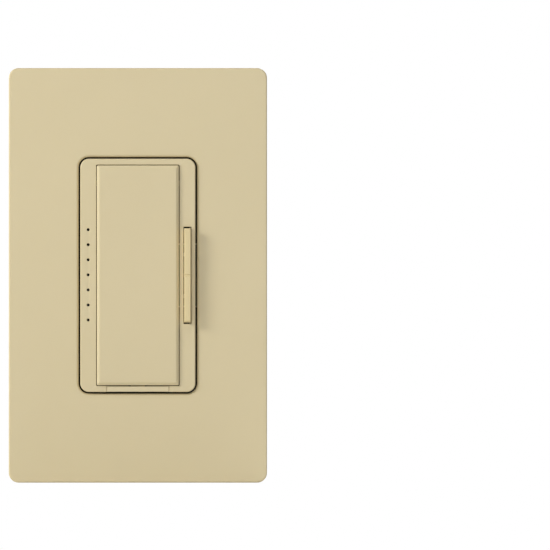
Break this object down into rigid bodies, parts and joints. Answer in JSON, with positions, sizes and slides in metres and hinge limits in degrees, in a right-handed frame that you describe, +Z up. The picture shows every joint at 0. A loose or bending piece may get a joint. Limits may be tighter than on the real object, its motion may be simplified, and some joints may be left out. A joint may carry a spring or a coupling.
{
  "type": "tap dimmer switch",
  "caption": "Wall dimmer with a large tap switch, a narrow raise and lower rocker, level lamps, a pull-out service tab and a clip-fitted screwless faceplate over a deep rear housing.",
  "frame": {"origin": "on the wall's surface, midway between the two box screws", "axes": "+Z up, +X right as seen from the room, the room on the -Y side and the wall box on the +Y side"},
  "size_m": [0.0744, 0.0396, 0.1194],
  "materials": {
    "ivory_cover": "ivory satin thermoplastic",
    "ivory_rocker": "ivory satin thermoplastic",
    "adapter_plastic": "ivory matt",
    "clear_pipe": "clear moulded",
    "yoke_metal": "black anodised aluminium",
    "screw_steel": "zinc plated",
    "fibre": "red fibre",
    "green_steel": "green plated",
    "insulation": "pressboard",
    "board_green": "solder mask",
    "lamp_body": "moulded",
    "key_body": "moulded",
    "plunger_plastic": "moulded",
    "pad_rubber": "matt",
    "ferrite": "coated",
    "copper_wire": "enamelled",
    "capacitor_box": "moulded",
    "capacitor_sleeve": "sleeved",
    "varistor_coat": "coated",
    "fuse_body": "glazed",
    "resistor_body": "coated",
    "contact_brass": "rolled",
    "screw_black": "black",
    "screw_brass": "polished",
    "screw_blue": "blue",
    "housing_black": "fine texture",
    "label_paper": "matt"
  },
  "bodies": {
    "device": {"bezel": "ivory_cover", "faceplate_adapter": "adapter_plastic", "light_pipe": "clear_pipe", "yoke": "yoke_metal", "box_screws": "screw_steel", "adapter_screws": "screw_steel", "housing_screws": "screw_steel", "triac_screw": "screw_steel", "screw_retainers": "fibre", "ground_screw": "green_steel", "insulating_sheet": "insulation", "control_board": "board_green", "power_board": "board_green", "level_lamp_1": "lamp_body", "level_lamp_2": "lamp_body", "level_lamp_3": "lamp_body", "level_lamp_4": "lamp_body", "level_lamp_5": "lamp_body", "level_lamp_6": "lamp_body", "level_lamp_7": "lamp_body", "tap_contact": "key_body", "raise_contact": "key_body", "lower_contact": "key_body", "microcontroller": "key_body", "board_header": "key_body", "triac": "key_body", "triac_pad": "pad_rubber", "choke_core": "ferrite", "choke_winding": "copper_wire", "film_capacitor": "capacitor_box", "supply_capacitor": "capacitor_sleeve", "varistor": "varistor_coat", "thermal_fuse": "fuse_body", "dropper_resistor": "resistor_body", "contact_post": "contact_brass", "fixed_contact": "contact_brass", "line_terminal_plate": "contact_brass", "load_terminal_plate": "contact_brass", "remote_terminal_plate": "contact_brass", "line_terminal_screw": "screw_black", "load_terminal_screw": "screw_brass", "remote_terminal_screw": "screw_blue", "rear_housing": "housing_black", "rating_label": "label_paper"},
    "faceplate": {"faceplate": "ivory_cover"},
    "tap_switch": {"tap_switch": "ivory_cover"},
    "tap_plunger": {"tap_plunger": "plunger_plastic"},
    "level_rocker": {"level_rocker": "ivory_rocker"},
    "raise_plunger": {"raise_plunger": "plunger_plastic"},
    "lower_plunger": {"lower_plunger": "plunger_plastic"},
    "air_gap_tab": {"air_gap_tab": "ivory_cover"},
    "contact_leaf": {"contact_leaf": "contact_brass"}
  },
  "joints": [
    {"name": "faceplate_pull_off", "type": "slide", "parent": "device", "child": "faceplate", "axis": [0, -1, 0], "range_m": [0, 0.012]},
    {"name": "tap_switch_press", "type": "hinge", "parent": "device", "child": "tap_switch", "pos_m": [0, -0.0052, 0.0265], "axis": [1, 0, 0], "range_deg": [0, 1], "stiffness_Nm_per_rad": 1.2},
    {"name": "tap_plunger_press", "type": "slide", "parent": "device", "child": "tap_plunger", "axis": [0, 1, 0], "range_m": [0, 0.0003]},
    {"name": "rocker_tilt", "type": "hinge", "parent": "device", "child": "level_rocker", "pos_m": [0.0142, -0.005, 0], "axis": [1, 0, 0], "range_deg": [-2.2, 2.2], "stiffness_Nm_per_rad": 0.25},
    {"name": "raise_plunger_press", "type": "slide", "parent": "device", "child": "raise_plunger", "axis": [0, 1, 0], "range_m": [-0.00024, 0.00024]},
    {"name": "lower_plunger_press", "type": "slide", "parent": "device", "child": "lower_plunger", "axis": [0, 1, 0], "range_m": [-0.00024, 0.00024]},
    {"name": "air_gap_pull", "type": "slide", "parent": "device", "child": "air_gap_tab", "axis": [0, -1, 0], "range_m": [0, 0.004]},
    {"name": "contact_leaf_open", "type": "hinge", "parent": "device", "child": "contact_leaf", "pos_m": [0, 0.00905, -0.0242], "axis": [-1, 0, 0], "range_deg": [0, 10]}
  ],
  "couplings": [
    {"joint": "tap_plunger_press", "follows": "tap_switch_press", "m_per_rad": 0.016},
    {"joint": "raise_plunger_press", "follows": "rocker_tilt", "m_per_rad": -0.006},
    {"joint": "lower_plunger_press", "follows": "rocker_tilt", "m_per_rad": 0.006},
    {"joint": "contact_leaf_open", "follows": "air_gap_pull", "rad_per_m": 43.1}
  ]
}
